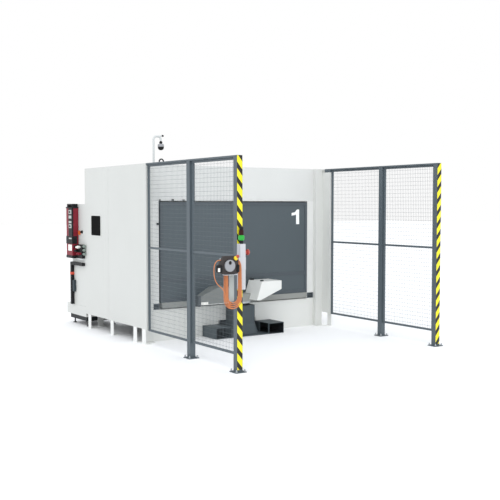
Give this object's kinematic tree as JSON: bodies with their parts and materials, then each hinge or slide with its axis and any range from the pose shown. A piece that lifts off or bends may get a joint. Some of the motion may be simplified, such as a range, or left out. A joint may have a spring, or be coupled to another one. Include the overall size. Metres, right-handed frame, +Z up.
{
  "type": "robotic welding cell",
  "caption": "Closed robotic welding cell with a turning screen and two-station table in its front opening, fenced loading bay, teach pendant and power cabinet.",
  "frame": {"origin": "on the floor on the turning axis of the table, in the plane of the front wall", "axes": "+X to the right along the front, +Y into the cabin, +Z up"},
  "size_m": [3.4544, 4.922, 2.694],
  "materials": {
    "white_panel": "semi-gloss powder coat",
    "grey_panel": "semi-gloss powder coat",
    "grey_steel": "satin",
    "fence_paint": "satin powder coat",
    "graphite_paint": "satin",
    "screen_sheet": "satin powder coat",
    "screen_border": "satin powder coat",
    "dark_glass": "tinted",
    "black_plastic": "matt",
    "black_steel": "satin",
    "stack_black": "matt",
    "stop_red": "gloss",
    "pendant_plastic": "matt",
    "cable_orange": "satin sheath",
    "source_red": "satin",
    "switch_orange": "gloss"
  },
  "bodies": {
    "cell": {"cabinet_base": "white_panel", "cabinet_plinth": "black_steel", "cable_end_housing": "cable_orange", "cable_end_pendant": "cable_orange", "cable_gland": "black_plastic", "cable_hank": "cable_orange", "cable_trunk": "black_plastic", "camera_mast": "grey_steel", "connector_box": "black_plastic", "control_cabinet": "white_panel", "control_housing": "grey_panel", "corner_columns": "grey_panel", "emergency_stop": "stop_red", "end_posts": "fence_paint", "front_header": "white_panel", "front_plinths": "white_panel", "front_strips": "white_panel", "lifting_ring": "black_steel", "main_switch": "switch_orange", "mesh_inner_left": "fence_paint", "mesh_inner_right": "fence_paint", "mesh_outer_left": "fence_paint", "mesh_outer_right": "fence_paint", "mid_posts": "fence_paint", "pedestal": "graphite_paint", "pendant_holder": "grey_panel", "positioner_base": "graphite_paint", "power_source": "source_red", "rear_corner_posts": "white_panel", "rear_panels": "white_panel", "return_panels": "grey_panel", "roof_camera": "black_plastic", "roof_panels": "white_panel", "side_panel_rear_left": "white_panel", "side_panel_rear_right": "white_panel", "side_panels_front": "white_panel", "slewing_ring": "graphite_paint", "stack_light": "stack_black", "teach_pendant": "pendant_plastic", "top_rails": "fence_paint", "wall_legs": "grey_steel", "window_frame": "white_panel", "window_glass": "dark_glass"},
    "turning_table": {"turntable": "graphite_paint", "screen_beam": "grey_panel", "screen_frame": "screen_border", "screen_panels": "screen_sheet", "drive_consoles": "grey_panel", "drive_flanges": "graphite_paint", "arm_consoles": "white_panel", "table_bridges": "grey_panel"}
  },
  "joints": [
    {"name": "table_turn", "type": "hinge", "parent": "cell", "child": "turning_table", "pos_m": [0, 0, 0.43], "axis": [0, 0, 1], "range_deg": [0, 180]}
  ]
}
